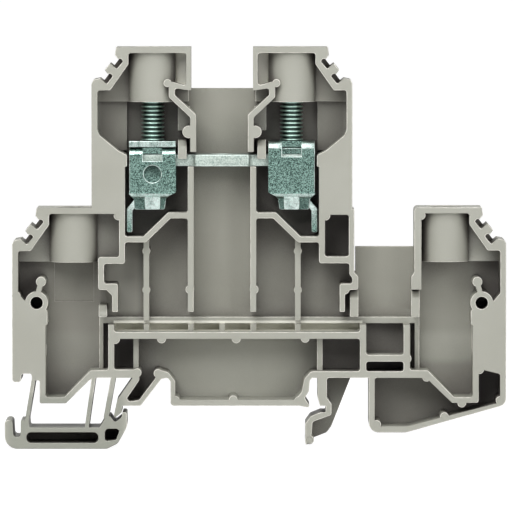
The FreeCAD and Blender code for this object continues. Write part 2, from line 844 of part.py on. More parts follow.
def current_bar():
    """Bar of the upper tier: wide in the middle, with a tapped hole for a cross connector."""
    narrow = bar_end_width / 2
    wide_front = front + wall
    wide_back = floor - bar_side_gap
    ramp = bar_middle_half + bar_ramp
    corners = [
        (-bar_half, -narrow), (-ramp, -narrow), (-bar_middle_half, wide_front, 0.4),
        (bar_middle_half, wide_front, 0.4), (ramp, -narrow), (bar_half, -narrow),
        (bar_half, narrow), (ramp, narrow), (bar_middle_half, wide_back, 0.4),
        (-bar_middle_half, wide_back, 0.4), (-ramp, narrow), (-bar_half, narrow),
    ]
    face = profile(corners, lambda x, y: FreeCAD.Vector(x, y, upper_seat))
    bar = face.extrude(FreeCAD.Vector(0, 0, bar_thickness))
    tapped = Part.makeCylinder(
        tap_bore / 2, bar_thickness + 2 * over, FreeCAD.Vector(0, 0, upper_seat - over))
    return bar.cut(tapped)


def clamping_screw():
    """Slotted cheese head screw, standing on the bar with its axis at X = 0."""
    tip = bar_top + tip_gap
    radius = screw_diameter / 2
    head_low = upper_top - guide_length + guide_flange + head_gap
    upright = FreeCAD.Vector(0, 0, 1)
    point = Part.makeCone(radius - tip_chamfer, radius, tip_chamfer, FreeCAD.Vector(0, 0, tip), upright)
    shank = Part.makeCylinder(
        radius, head_low - tip - tip_chamfer, FreeCAD.Vector(0, 0, tip + tip_chamfer))
    head = Part.makeCylinder(head_diameter / 2, head_height, FreeCAD.Vector(0, 0, head_low))
    slot = Part.makeBox(
        head_diameter, slot_width, slot_depth,
        FreeCAD.Vector(-head_diameter / 2, -slot_width / 2, head_low + head_height - slot_depth))
    return point.fuse([shank, head]).removeSplitter().cut(slot)


def yoke_ring():
    """Folded strip of the yoke: two leaves over the bar, two walls and the floor that lifts the wire."""
    outer = yoke_depth / 2
    inner = outer - sheet
    leaf = bar_top + yoke_gap
    low = leaf - yoke_window
    bend = fold_radius + sheet
    high = leaf + sheet + leaf_gap
    corners = [
        (inner - 0.4, leaf + sheet), (-outer, leaf + sheet, bend), (-outer, low - sheet, bend),
        (outer, low - sheet, bend), (outer, high + sheet, bend), (-outer, high + sheet), (-outer, high),
        (inner, high, fold_radius), (inner, low, fold_radius), (-inner, low, fold_radius),
        (-inner, leaf, fold_radius), (inner - 0.4, leaf),
    ]
    face = profile(corners, lambda y, z: FreeCAD.Vector(-yoke_length / 2, y, z))
    return face.extrude(FreeCAD.Vector(yoke_length, 0, 0))


def yoke():
    """Clamping yoke with its axis at X = 0: the dimple faces the front, the apron is to the left."""
    outer = yoke_depth / 2
    leaf = bar_top + yoke_gap
    low = leaf - yoke_window
    half = yoke_length / 2
    nose_low = low - sheet - nose_drop
    nose_depth = outer - 0.7
    nose = slab([
        (-3.2, low - sheet / 2), (-3.0, nose_low, 0.3), (2.1, nose_low, 0.3), (2.3, low - sheet / 2),
    ], -nose_depth, nose_depth)
    tab = slab([
        (-1.3, low - sheet / 2), (-1.3, nose_low, 0.3), (1.3, nose_low, 0.3), (1.3, low - sheet / 2),
    ], -outer + 0.2, outer - 0.2)
    apron_low = upper_seat - clamp_drop + apron_gap
    apron_out = half + yoke_side_gap - apron_side_gap
    apron = slab([
        (-2.6, low - sheet / 2), (-apron_out, low - 2.6, 0.5), (-apron_out, apron_low, 0.3),
        (-apron_out + sheet, apron_low, 0.3), (-apron_out + sheet, low - 2.9, 0.5), (-1.9, low - 1.2)],
        -outer + sheet, outer - sheet)
    far = outer + over
    left_corner = slab([
        (-half - over, low - sheet - over), (-half + 0.75, low - sheet - over), (-half + 0.75, low - sheet),
        (-half, low - 0.1, 0.3), (-half - over, low - 0.1)], -far, far)
    right_corner = slab([
        (half + over, low - sheet - over), (half - 1.6, low - sheet - over), (half - 1.6, low - sheet),
        (half - 1.3, low - 0.5, 0.4), (half, low + 0.2, 0.3), (half + over, low + 0.2)], -far, far)
    notch = notch_width / 2
    cuts = [
        Part.makeCylinder(screw_diameter / 2 + screw_fit, 4 * sheet, FreeCAD.Vector(0, 0, leaf - over)),
        box(-notch, notch, leaf - 1.2, leaf + sheet + leaf_gap / 2, -outer - over, -outer + 1.35),
        box(-notch, notch, leaf - 0.4, leaf + 4 * sheet, outer - 1.2, outer + over),
        pin(0, low + 3.3, dimple_radius, -outer - over, -outer + dimple_depth),
    ]
    ring = yoke_ring().cut([left_corner, right_corner])
    return ring.fuse([nose, tab, apron]).cut(cuts).removeSplitter()


def place(shape, x, turned=False):
    """Shape moved to a screw axis, turned half a turn about Z where asked."""
    moved = shape.copy()
    if turned:
        moved.rotate(FreeCAD.Vector(0, 0, 0), FreeCAD.Vector(0, 0, 1), 180)
    moved.translate(FreeCAD.Vector(x, 0, 0))
    return moved


axis = upper_reach - screw_inset
screw = clamping_screw()
clamp = yoke()
parts = {
    "housing": housing(),
    "current_bar": current_bar(),
    "left_yoke": place(clamp, -axis),
    "right_yoke": place(clamp, axis, turned=True),
    "left_screw": place(screw, -axis),
    "right_screw": place(screw, axis),
}
os.makedirs("parts", exist_ok=True)
for name, shape in parts.items():
    solid = shape.Solids[0] if len(shape.Solids) == 1 else shape
    solid.exportStep("parts/" + name + ".step")
    print(name, "solids", len(shape.Solids), "valid", shape.isValid(), "volume", round(shape.Volume, 2))
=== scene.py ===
# %% [markdown]
# A double level terminal block sits on a 35 mm mounting rail and joins wires on two tiers.
# We see it from its open side: one moulded housing with thin walls, and in the upper tier a
# current bar, two clamping yokes folded from sheet, and two screws that lift them.
# The shapes come from the engineering model. This file gives them soft edges, cut threads,
# plastic and plated metal, a small studio and a camera.

import math

import bmesh
import bpy
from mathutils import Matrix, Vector
from mathutils.bvhtree import BVHTree
from mathutils.kdtree import KDTree


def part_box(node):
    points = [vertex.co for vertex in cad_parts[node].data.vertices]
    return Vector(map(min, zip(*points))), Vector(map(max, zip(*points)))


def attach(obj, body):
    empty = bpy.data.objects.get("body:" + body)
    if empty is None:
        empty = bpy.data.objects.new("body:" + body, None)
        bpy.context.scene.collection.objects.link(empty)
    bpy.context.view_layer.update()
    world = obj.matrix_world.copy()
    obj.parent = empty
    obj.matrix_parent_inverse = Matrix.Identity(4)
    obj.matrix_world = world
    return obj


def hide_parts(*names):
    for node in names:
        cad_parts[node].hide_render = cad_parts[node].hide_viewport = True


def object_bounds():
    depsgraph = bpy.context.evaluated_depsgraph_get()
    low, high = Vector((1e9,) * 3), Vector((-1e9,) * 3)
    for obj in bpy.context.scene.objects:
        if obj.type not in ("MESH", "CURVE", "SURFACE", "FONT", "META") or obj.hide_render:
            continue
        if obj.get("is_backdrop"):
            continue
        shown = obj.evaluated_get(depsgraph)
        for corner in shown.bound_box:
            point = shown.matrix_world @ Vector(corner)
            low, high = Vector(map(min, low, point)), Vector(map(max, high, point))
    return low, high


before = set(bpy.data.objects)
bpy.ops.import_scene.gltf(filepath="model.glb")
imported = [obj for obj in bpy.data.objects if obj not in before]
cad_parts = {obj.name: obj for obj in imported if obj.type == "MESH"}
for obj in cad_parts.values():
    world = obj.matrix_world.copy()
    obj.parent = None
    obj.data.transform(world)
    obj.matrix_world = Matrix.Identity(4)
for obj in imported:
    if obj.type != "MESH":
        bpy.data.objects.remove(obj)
cad_low, cad_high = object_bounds()
millimetre = 0.001
print("nodes", sorted(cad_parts))
print("size in mm", [round((high - low) / millimetre, 2) for low, high in zip(cad_low, cad_high)])

# %% [markdown]
# Every edge of a real moulding or stamping is a little round, and that thin rim catches the
# light. The engineering model has perfectly sharp edges, and its mesh is loose triangles.
# So a copy of each piece is welded first, its flat areas are joined to whole faces, and the
# outer edges get a narrow bevel of one width. Where there is no room for it the bevel would
# run over itself, so the result is compared with the sharp shape, and edges that went wrong
# stay sharp in the next try. After the last try some corners of the housing are still rough,
# and their number differs a little from run to run.

# %% A welded copy of an engineering piece
def welded_copy(node, name):
    """Closed mesh with whole flat faces, made from the loose triangles of a node."""
    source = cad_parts[node].data
    mesh = bpy.data.meshes.new(name)
    work = bmesh.new()
    work.from_mesh(source)
    bmesh.ops.remove_doubles(work, verts=work.verts, dist=0.0005 * millimetre)
    bmesh.ops.dissolve_degenerate(work, edges=work.edges, dist=0.0005 * millimetre)
    bmesh.ops.dissolve_limit(
        work, angle_limit=math.radians(0.6), verts=work.verts, edges=work.edges)
    for face in work.faces:
        face.smooth = True
    work.to_mesh(mesh)
    work.free()
    mesh.materials.clear()
    piece = bpy.data.objects.new(name, mesh)
    bpy.context.scene.collection.objects.link(piece)
    open_edges = sum(1 for edge in edges_with_faces(mesh).values() if edge != 2)
    print(name, "faces", len(mesh.polygons), "edges without two faces", open_edges)
    return piece


def edges_with_faces(mesh):
    """How many faces use each edge."""
    uses = {}
    for face in mesh.polygons:
        for key in face.edge_keys:
            uses[key] = uses.get(key, 0) + 1
    return uses


# %% Rounded rims
def plain_mesh(piece):
    """Turns a piece with its modifiers into a plain mesh, and takes the modifiers off."""
    bpy.context.view_layer.update()
    evaluated = piece.evaluated_get(bpy.context.evaluated_depsgraph_get())
    mesh = bpy.data.meshes.new_from_object(evaluated)
    piece.modifiers.clear()
    old = piece.data
    piece.data = mesh
    mesh.name = piece.name
    if old.users == 0:
        bpy.data.meshes.remove(old)
    return mesh


def room_across(edge):
    """Length of the shortest neighbouring edge that leads away from this one."""
    along = (edge.verts[1].co - edge.verts[0].co).normalized()
    shortest = 1.0
    for loop in edge.link_loops:
        for near in (loop.link_loop_next.edge, loop.link_loop_prev.edge):
            way = near.verts[1].co - near.verts[0].co
            if way.length > 0 and abs(way.dot(along)) < 0.8 * way.length:
                shortest = min(shortest, way.length)
    return shortest


def choose_edges(work, width, sharp_angle):
    """Gives bevel weight 1 to the outer corners that have room for the bevel."""
    weight = work.edges.layers.float.new("bevel_weight_edge")
    for edge in work.edges:
        if len(edge.link_faces) != 2 or not edge.is_convex:
            continue
        if edge.calc_face_angle() > sharp_angle and room_across(edge) > 1.3 * width:
            edge[weight] = 1.0
    return weight


def bevelled(work, name, width, segments):
    """Plain mesh of the work mesh with its weighted edges bevelled; bevel faces have index 1."""
    mesh = bpy.data.meshes.new(name)
    work.to_mesh(mesh)
    mesh.materials.append(None)
    mesh.materials.append(None)
    trial = bpy.data.objects.new(name, mesh)
    bpy.context.scene.collection.objects.link(trial)
    bevel = trial.modifiers.new("rims", "BEVEL")
    bevel.width = width
    bevel.segments = segments
    bevel.limit_method = "WEIGHT"
    bevel.use_clamp_overlap = False
    bevel.loop_slide = False
    bevel.material = 1
    result = plain_mesh(trial)
    bpy.data.objects.remove(trial)
    return result


def spoiled_corners(mesh, surface, corners, width):
    """Old corners near new faces that turned over or points that left the old surface."""
    found = set()
    for vertex in mesh.vertices:
        if surface.find_nearest(vertex.co)[3] > 0.5 * width:
            found.update(index for _, index, _ in corners.find_n(vertex.co, 3))
    mesh.calc_loop_triangles()
    for triangle in mesh.loop_triangles:
        points = [mesh.vertices[index].co for index in triangle.vertices]
        below = surface.find_nearest(sum(points, Vector()) / 3)[1]
        if triangle.area > 1e-12 and below is not None and below.dot(triangle.normal) < 0.2:
            found.update(corners.find(point)[1] for point in points)
    return found


def mark_rims(mesh):
    """Stores in the attribute rim whether a face corner belongs to a bevel: 1 there, 0 on flats."""
    values = []
    for face in mesh.polygons:
        values += [float(face.material_index == 1)] * len(face.vertices)
        face.material_index = 0
    attribute = mesh.attributes.new("rim", "FLOAT", "CORNER")
    attribute.data.foreach_set("value", values)


def even_shading(piece, crease_degrees=50):
    """Keeps real corners hard and lets large faces rule the shading of small ones beside them."""
    work = bmesh.new()
    work.from_mesh(piece.data)
    for face in work.faces:
        face.smooth = True
    for edge in work.edges:
        edge.smooth = edge.calc_face_angle(math.pi) < math.radians(crease_degrees)
    work.to_mesh(piece.data)
    work.free()
    shading = piece.modifiers.new("shading", "WEIGHTED_NORMAL")
    shading.mode = "FACE_AREA_WITH_ANGLE"
    shading.keep_sharp = True
    plain_mesh(piece)


def round_rims(piece, width_mm, segments=2, sharp_degrees=34, tries=6):
    """Bevels the outer edges of a piece and evens its shading, as a plain mesh."""
    width = width_mm * millimetre
    work = bmesh.new()
    work.from_mesh(piece.data)
    weight = choose_edges(work, width, math.radians(sharp_degrees))
    surface = BVHTree.FromBMesh(work)
    corners = KDTree(len(work.verts))
    for vertex in work.verts:
        corners.insert(vertex.co, vertex.index)
    corners.balance()
    wanted = sum(1 for edge in work.edges if edge[weight] > 0)
    for count in range(tries):
        mesh = bevelled(work, piece.name, width, segments)
        spoiled = spoiled_corners(mesh, surface, corners, width)
        if not spoiled or count == tries - 1:
            break
        work.verts.ensure_lookup_table()
        for index in spoiled:
            for edge in work.verts[index].link_edges:
                edge[weight] = 0.0
    kept = sum(1 for edge in work.edges if edge[weight] > 0)
    work.free()
    mark_rims(mesh)
    mesh.materials.clear()
    piece.data = mesh
    even_shading(piece)
    print(piece.name, "edges bevelled", kept, "of", wanted, "corners left rough", len(spoiled))
    return piece


# %% [markdown]
# The panels behind the screw guides reach past the sawtooth shoulders in the engineering model.
# On the copy they are cut back to the shoulder's own line, and its two grooves are opened down
# to the back plate. The cutters are prisms, one for each shoulder, that follow the line from
# the tier's top face (first point) to its outer face (last point).

# %% Marker shoulders
# reach and top of a shoulder in millimetres, and its side: 1 is right, -1 is left
shoulders = [(22.1, 60.85, 1), (22.1, 60.85, -1), (48.2, 33.7, 1), (35.6, 33.6, -1)]
groove_front = 0.3
groove_floor = 3.95
groove_back = 4.6
past_corner = [(1.0, -6.15), (1.0, 1.0), (-4.15, 1.0)]
deep_line = [
    (-4.15, 0.0), (-3.97, -1.31), (-4.47, -1.99), (-4.97, -1.97), (-5.39, -2.36), (-4.29, -3.71),
    (-3.19, -2.77), (-2.24, -3.85), (-2.74, -4.53), (-3.24, -4.51), (-3.66, -4.9), (-2.56, -6.25),
    (-1.46, -5.31), (-0.31, -5.53), (0.0, -6.15),
]
shallow_line = [
    (-4.15, 0.0), (-3.97, -1.31), (-4.52, -2.26), (-3.77, -3.26), (-3.19, -2.77), (-2.24, -3.85),
    (-2.79, -4.8), (-2.04, -5.8), (-1.46, -5.31), (-0.31, -5.53), (0.0, -6.15),
]


def shoulder_cutter(name, line, near, far):
    """Four prisms outside the shoulders, from Y = near to Y = far in millimetres."""
    away = 0.03
    work = bmesh.new()
    for reach, top, side in shoulders:
        points = [(side * (reach + x + away), top + z + away) for x, z in line + past_corner]
        corners = [work.verts.new(Vector((x, near, z)) * millimetre) for x, z in points]
        face = work.faces.new(corners)
        grown = bmesh.ops.extrude_face_region(work, geom=[face])["geom"]
        moved = [item for item in grown if isinstance(item, bmesh.types.BMVert)]
        bmesh.ops.translate(work, vec=(0, (far - near) * millimetre, 0), verts=moved)
    bmesh.ops.recalc_face_normals(work, faces=work.faces)
    mesh = bpy.data.meshes.new(name)
    work.to_mesh(mesh)
    work.free()
    cutter = bpy.data.objects.new(name, mesh)
    bpy.context.scene.collection.objects.link(cutter)
    return cutter


def trim_shoulders(piece):
    """Cuts the guide panels back to the sawtooth line and welds the result."""
    cutters = [
        shoulder_cutter("deep", deep_line, groove_front, groove_floor),
        shoulder_cutter("shallow", shallow_line, groove_floor, groove_back),
    ]
    for cutter in cutters:
        cut = piece.modifiers.new(cutter.name, "BOOLEAN")
        cut.operation = "DIFFERENCE"
        cut.solver = "EXACT"
        cut.object = cutter
    plain_mesh(piece)
    for cutter in cutters:
        bpy.data.objects.remove(cutter)
    work = bmesh.new()
    work.from_mesh(piece.data)
    bmesh.ops.remove_doubles(work, verts=work.verts, dist=0.002 * millimetre)
    bmesh.ops.dissolve_degenerate(work, edges=work.edges, dist=0.002 * millimetre)
    work.to_mesh(piece.data)
    work.free()
    open_edges = sum(1 for uses in edges_with_faces(piece.data).values() if uses != 2)
    faces = len(piece.data.polygons)
    print(piece.name, "trimmed, faces", faces, "edges without two faces", open_edges)


# %% [markdown]
# The housing is one injection moulding of polyamide: tall thin walls on a back plate, with
# tubes for the screws, rings for an end plate's pins and a sprung foot. A bevel of a tenth of
# a millimetre on its welded copy is enough, because the shape itself is already complete.

# %% Housing
housing = welded_copy("housing", "housing_moulding")
trim_shoulders(housing)
round_rims(housing, 0.12)

# %% [markdown]
# The yokes are strips of sheet steel folded to a ring, so their folds are round already and
# only the cut edges need a rim. The bar is cut from thicker strip and its corners are softer.
# Two attributes on the yokes, rim and groove, tell the finish where to paint a highlight and where
# to paint shade. The painted highlight lies on the folds, the sheared edge of the upper leaf and
# the tab, and on the apron, fading downwards. The painted shade lies on the floor of the dimple,
# darker towards its top, and on the nose, as they are in the picture.

# %% Yokes and bar
dimple_depth = 0.25
tab_depth = 0.2
nose_depth = 0.7
apron_depth = 1.0
leaf_height = 1.4
dimple_below_top = 5.6
# the painted highlight on the apron fades from this many millimetres below the dimple's centre,
# over this length
apron_fade_start = 5.0
apron_fade_length = 4.0


def mark_pressed_parts(piece, centre_height):
    """Sets rim, the mask of painted highlights, and groove, the mask of painted shade, on the folds
    and flat parts of a yoke by how they tilt and how deep they lie behind its wall.
    """
    low = min(vertex.co.y for vertex in piece.data.vertices)
    high = max(vertex.co.y for vertex in piece.data.vertices)
    top = max(vertex.co.z for vertex in piece.data.vertices)
    work = bmesh.new()
    work.from_mesh(piece.data)
    rim = work.loops.layers.float["rim"]
    groove = work.loops.layers.float.new("groove")
    for face in work.faces:
        if abs(face.normal.y) < 0.97:
            # painted highlight on the folds
            if 0.1 < abs(face.normal.y) and abs(face.normal.x) < 0.2:
                for loop in face.loops:
                    loop[rim] = max(loop[rim], 0.6)
            continue
        middle = face.calc_center_median()
        depth = min(middle.y - low, high - middle.y) / millimetre
        for loop in face.loops:
            above = (loop.vert.co.z - centre_height) / millimetre
            # painted shadow on the floor of the dimple, darker towards its top
            if abs(depth - dimple_depth) < 0.03:
                loop[groove] = 0.42 + 0.2 * above
            # painted highlight on the tab
            elif abs(depth - tab_depth) < 0.02:
                loop[rim] = 0.8
            # painted shade on the nose
            elif abs(depth - nose_depth) < 0.03:
                loop[groove] = 0.45
            # painted highlight on the apron, fading downwards
            elif abs(depth - apron_depth) < 0.03 and middle.z < centre_height:
                loop[rim] = 1.0 + (above + apron_fade_start) / apron_fade_length
            # painted highlight on the sheared edge of the upper leaf
            elif depth < 0.15 and middle.z > top - leaf_height * millimetre:
                loop[rim] = 0.7
    work.to_mesh(piece.data)
    work.free()


left_yoke = round_rims(welded_copy("left_yoke", "left_yoke_folded"), 0.12)
right_yoke = round_rims(welded_copy("right_yoke", "right_yoke_folded"), 0.12)
for yoke in (left_yoke, right_yoke):
    heights = [vertex.co.z for vertex in yoke.data.vertices]
    low_mm, high_mm = (round(height / millimetre, 2) for height in (min(heights), max(heights)))
    print(yoke.name, "from Z", low_mm, "to", high_mm)
    mark_pressed_parts(yoke, max(heights) - dimple_below_top * millimetre)
bar = round_rims(welded_copy("current_bar", "current_bar_cut"), 0.16)

# %% [markdown]
# A thread is one groove that winds along the screw, so it follows a rule and suits Geometry
# Nodes. The tree bends a flat grid into a tube. Each row of the grid climbs by one pitch in a
# turn, so the rows run along the thread and its crest stays crisp. The height over the pitch
# gives the profile: a flat crest, two sloping flanks and a flat root. The attribute groove is
# kept for the finish: 0 on the crest and 1 at the root. Named inputs hold the sizes, and the
# last nodes realise the result and give it the metal.

# %% Small helpers for node trees
def add_math(tree, operation, first, second=None, third=None, clamp=False):
    """Adds a Math node; its values are numbers or sockets."""
    node = tree.nodes.new("ShaderNodeMath")
    node.operation = operation
    node.use_clamp = clamp
    for socket, value in zip(node.inputs, (first, second, third)):
        if value is None:
            continue
        if isinstance(value, (int, float)):
            socket.default_value = value
        else:
            tree.links.new(value, socket)
    return node.outputs[0]


def tree_inputs(tree, sockets):
    """Makes the named inputs of a tree from (name, kind, value)."""
    for name, kind, value in sockets:
        socket = tree.interface.new_socket(name, in_out="INPUT", socket_type=kind)
        if value is not None:
            socket.default_value = value


def tree_outputs(tree, sockets):
    """Makes the named outputs of a tree from (name, kind)."""
    for name, kind in sockets:
        tree.interface.new_socket(name, in_out="OUTPUT", socket_type=kind)


# %% Thread tree
thread_pitch = 0.7 * millimetre
rows_per_pitch = 8


def thread_tree():
    """Geometry Nodes tree of a screw thread that stands on Z."""
    tree = bpy.data.node_groups.new("screw_thread", "GeometryNodeTree")
    tree_inputs(tree, [
        ("Radius", "NodeSocketFloat", 2.0 * millimetre),
        ("Depth", "NodeSocketFloat", 0.43 * millimetre),
        ("Pitch", "NodeSocketFloat", thread_pitch),
        ("Length", "NodeSocketFloat", 10 * millimetre),
        ("Start", "NodeSocketFloat", 0.0),
        ("Axis X", "NodeSocketFloat", 0.0),
        ("Tip Radius", "NodeSocketFloat", 1.5 * millimetre),
        ("Rows", "NodeSocketInt", 160),
        ("Columns", "NodeSocketInt", 41),
        ("Metal", "NodeSocketMaterial", None),
    ])
    tree_outputs(tree, [("Geometry", "NodeSocketGeometry")])
    given = tree.nodes.new("NodeGroupInput").outputs
    grid = tree.nodes.new("GeometryNodeMeshGrid")
    grid.inputs["Size X"].default_value = 1.0
    grid.inputs["Size Y"].default_value = 1.0
    tree.links.new(given["Columns"], grid.inputs["Vertices X"])
    tree.links.new(given["Rows"], grid.inputs["Vertices Y"])
    position = tree.nodes.new("GeometryNodeInputPosition")
    split = tree.nodes.new("ShaderNodeSeparateXYZ")
    tree.links.new(position.outputs[0], split.inputs[0])
    turn = add_math(tree, "ADD", split.outputs["X"], 0.5)
    row = add_math(tree, "MULTIPLY", add_math(tree, "ADD", split.outputs["Y"], 0.5),
                   add_math(tree, "SUBTRACT", given["Rows"], 1))
    row = add_math(tree, "ROUND", row)
    turns = add_math(tree, "ADD", add_math(tree, "DIVIDE", row, rows_per_pitch), turn)
    pitches = add_math(tree, "SUBTRACT", turns, 1.25)
    climb = add_math(tree, "MULTIPLY", pitches, given["Pitch"])
    height = add_math(tree, "MINIMUM", add_math(tree, "MAXIMUM", climb, 0), given["Length"])
    phase = add_math(tree, "FRACT", add_math(tree, "ADD", pitches, 2))
    off_crest = add_math(tree, "ABSOLUTE", add_math(tree, "SUBTRACT", phase, 0.5))
    off_crest = add_math(tree, "MULTIPLY", off_crest, 2)
    flank = add_math(tree, "DIVIDE", add_math(tree, "SUBTRACT", 0.78, off_crest), 0.62, clamp=True)
    groove = add_math(tree, "SUBTRACT", 1, flank)
    cut = add_math(tree, "MULTIPLY", groove, given["Depth"])
    radius = add_math(tree, "SUBTRACT", given["Radius"], cut)
    radius = add_math(tree, "MINIMUM", radius, add_math(tree, "ADD", given["Tip Radius"], height))
    margin = 0.1 * millimetre
    below = add_math(tree, "LESS_THAN", climb, -margin)
    above = add_math(tree, "GREATER_THAN", climb, add_math(tree, "ADD", given["Length"], margin))
    inside = add_math(tree, "SUBTRACT", 1, add_math(tree, "ADD", below, above), clamp=True)
    radius = add_math(tree, "MULTIPLY", radius, inside)
    angle = add_math(tree, "MULTIPLY", turn, 2 * math.pi)
    place = tree.nodes.new("ShaderNodeCombineXYZ")
    east = add_math(tree, "MULTIPLY", radius, add_math(tree, "COSINE", angle))
    tree.links.new(add_math(tree, "ADD", east, given["Axis X"]), place.inputs["X"])
    north = add_math(tree, "MULTIPLY", radius, add_math(tree, "SINE", angle))
    tree.links.new(north, place.inputs["Y"])
    tree.links.new(add_math(tree, "ADD", height, given["Start"]), place.inputs["Z"])
    # groove, 0 on the crest and 1 at the root, is where the metal finish paints shade into the
    # thread
    keep = tree.nodes.new("GeometryNodeStoreNamedAttribute")
    keep.inputs["Name"].default_value = "groove"
    tree.links.new(grid.outputs["Mesh"], keep.inputs["Geometry"])
    tree.links.new(groove, keep.inputs["Value"])
    bend = tree.nodes.new("GeometryNodeSetPosition")
    tree.links.new(keep.outputs["Geometry"], bend.inputs["Geometry"])
    tree.links.new(place.outputs[0], bend.inputs["Position"])
    weld = tree.nodes.new("GeometryNodeMergeByDistance")
    weld.inputs["Distance"].default_value = 0.002 * millimetre
    tree.links.new(bend.outputs[0], weld.inputs["Geometry"])
    smooth = tree.nodes.new("GeometryNodeSetShadeSmooth")
    tree.links.new(weld.outputs[0], smooth.inputs["Geometry"])
    realise = tree.nodes.new("GeometryNodeRealizeInstances")
    tree.links.new(smooth.outputs[0], realise.inputs["Geometry"])
    finish = tree.nodes.new("GeometryNodeSetMaterial")
    tree.links.new(realise.outputs[0], finish.inputs["Geometry"])
    tree.links.new(given["Metal"], finish.inputs["Material"])
    result = tree.nodes.new("NodeGroupOutput")
    tree.links.new(finish.outputs[0], result.inputs["Geometry"])
    return tree


def set_inputs(modifier, values):
    """Sets a modifier's inputs, found by name and written by identifier."""
    for item in modifier.node_group.interface.items_tree:
        if item.item_type == "SOCKET" and item.in_out == "INPUT" and item.name in values:
            modifier[item.identifier] = values[item.name]


thread_nodes = thread_tree()
print("thread tree nodes", len(thread_nodes.nodes))

# %% [markdown]
# The screw is an M4 cheese head screw with a slot. Its head keeps the engineering shape: the
# welded copy is cut off just under the head and closed. The thread replaces the plain shank,
# stands on the same axis and reaches up to the head.

# %% Screws
plated_steel = bpy.data.materials.new("screw_zinc")
head_height = 2.6 * millimetre


def screw_head(node, name, cut_height):
    """The head of a screw, cut from its welded copy and closed underneath."""
    head = welded_copy(node, name)
    work = bmesh.new()
    work.from_mesh(head.data)
    everything = work.verts[:] + work.edges[:] + work.faces[:]
    cut = bmesh.ops.bisect_plane(
        work, geom=everything, dist=0.0001 * millimetre, plane_co=(0, 0, cut_height),
        plane_no=(0, 0, 1), clear_inner=True)
    rim = [item for item in cut["geom_cut"] if isinstance(item, bmesh.types.BMEdge)]
    bmesh.ops.edgeloop_fill(work, edges=rim)
    bmesh.ops.recalc_face_normals(work, faces=work.faces)
    work.to_mesh(head.data)
    work.free()
    return head


def threaded_screw(node, name):
    """Screw with a cut thread and the engineering head, as one plain mesh."""
    low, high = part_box(node)
    head_low = high.z - head_height
    axis_x = (low.x + high.x) / 2
    head = round_rims(screw_head(node, name + "_head", head_low + 0.001 * millimetre), 0.2, 3)
    piece = bpy.data.objects.new(name, bpy.data.meshes.new(name))
    bpy.context.scene.collection.objects.link(piece)
    modifier = piece.modifiers.new("thread", "NODES")
    modifier.node_group = thread_nodes
    length = head_low - low.z + 0.3 * millimetre
    set_inputs(modifier, {
        "Length": length, "Start": low.z, "Axis X": axis_x, "Metal": plated_steel,
        "Rows": int((length / thread_pitch + 3) * rows_per_pitch) + 1,
    })
    plain_mesh(piece)
    work = bmesh.new()
    work.from_mesh(piece.data)
    bmesh.ops.dissolve_degenerate(work, edges=work.edges, dist=0.001 * millimetre)
    bmesh.ops.recalc_face_normals(work, faces=work.faces)
    work.from_mesh(head.data)
    work.to_mesh(piece.data)
    work.free()
    bpy.data.objects.remove(head)
    open_edges = sum(1 for uses in edges_with_faces(piece.data).values() if uses != 2)
    print(name, "faces", len(piece.data.polygons), "edges without two faces", open_edges)
    return piece


left_screw = threaded_screw("left_screw", "left_screw_threaded")
right_screw = threaded_screw("right_screw", "right_screw_threaded")

# %% [markdown]
# Four effects return in several finishes, so each is a shader node group that is built once.
# Fine grain is the skin of a spark-eroded mould. Cloudy patches are the slow change of tone that
# any real surface has. Rim highlights mark the bevelled edges, where the finishes paint a
# highlight.
# Plating crystals are the sandy, glittering grains of zinc on steel. Each group only puts out
# masks and heights, and the finish itself decides what they change.

# %% Shader groups
def add_noise(tree, vector, scale, detail=2.0, rough=0.5, kind="ShaderNodeTexNoise"):
    """Adds a noise or cell texture; the scale is a number or a socket."""
    node = tree.nodes.new(kind)
    tree.links.new(vector, node.inputs["Vector"])
    if isinstance(scale, (int, float)):
        node.inputs["Scale"].default_value = scale
    else:
        tree.links.new(scale, node.inputs["Scale"])
    if kind == "ShaderNodeTexNoise":
        node.inputs["Detail"].default_value = detail
        node.inputs["Roughness"].default_value = rough
    return node


def spread(tree, value, low, high, to_low=0.0, to_high=1.0):
    """Stretches a value from one range to another, smoothly and clamped."""
    node = tree.nodes.new("ShaderNodeMapRange")
    node.interpolation_type = "SMOOTHSTEP"
    tree.links.new(value, node.inputs["Value"])
    limits = {"From Min": low, "From Max": high, "To Min": to_low, "To Max": to_high}
    for name, number in limits.items():
        node.inputs[name].default_value = number
    return node.outputs["Result"]


def object_point(tree):
    """The point on the piece, in metres, in the shared frame."""
    return tree.nodes.new("ShaderNodeTexCoord").outputs["Object"]


def grain_group():
    """Mask of a fine moulded or cast skin."""
    tree = bpy.data.node_groups.new("fine_grain", "ShaderNodeTree")
    tree_inputs(tree, [("Size", "NodeSocketFloat", 0.1 * millimetre)])
    tree_outputs(tree, [("Grain", "NodeSocketFloat")])
    given = tree.nodes.new("NodeGroupInput").outputs
    scale = add_math(tree, "DIVIDE", 1, given["Size"])
    fine = add_noise(tree, object_point(tree), scale, 3, 0.6).outputs["Fac"]
    result = tree.nodes.new("NodeGroupOutput")
    tree.links.new(spread(tree, fine, 0.3, 0.7), result.inputs["Grain"])
    return tree


